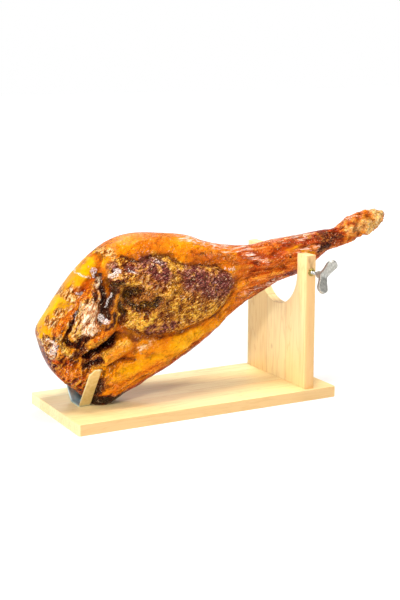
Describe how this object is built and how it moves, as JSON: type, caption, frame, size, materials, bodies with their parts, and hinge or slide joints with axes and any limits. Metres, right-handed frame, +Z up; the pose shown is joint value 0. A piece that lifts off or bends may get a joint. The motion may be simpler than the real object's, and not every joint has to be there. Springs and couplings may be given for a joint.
{
  "type": "cured ham on a wooden carving stand",
  "caption": "Whole bone-in cured ham lying in a metal fork on a pine stand, its shank held in a notched upright by a side screw with a wing handle.",
  "frame": {"origin": "middle of the board's underside", "axes": "+Z up, +X along the board towards the shank and trotter, -Y towards the clamp screw's handle"},
  "size_m": [0.657, 0.268, 0.3269],
  "materials": {
    "pine": "fine sanded, clear satin finish",
    "zinc_steel": "zinc plated, cool bright sheen",
    "brass": "turned, slightly dull",
    "screw_steel": "bright zinc plated",
    "cast_alloy": "cast and tumbled, pale satin",
    "cured_ham": "oily fat, dry mould and dark lean"
  },
  "bodies": {
    "root": {"base_board": "pine", "upright": "pine", "fork": "zinc_steel", "thread_insert": "brass", "ham": "cured_ham"},
    "screw": {"clamp_screw": "screw_steel"},
    "handle": {"wing_handle": "cast_alloy"}
  },
  "joints": [
    {"name": "screw_travel", "type": "slide", "parent": "root", "child": "screw", "axis": [0, -1, 0], "range_m": [0, 0.0148]},
    {"name": "handle_turn", "type": "hinge", "parent": "screw", "child": "handle", "pos_m": [0.1982, -0.139, 0.232], "axis": [0, -1, 0], "range_deg": [0, 5310]}
  ],
  "couplings": [
    {"joint": "screw_travel", "follows": "handle_turn", "m_per_rad": 0.00015915}
  ]
}
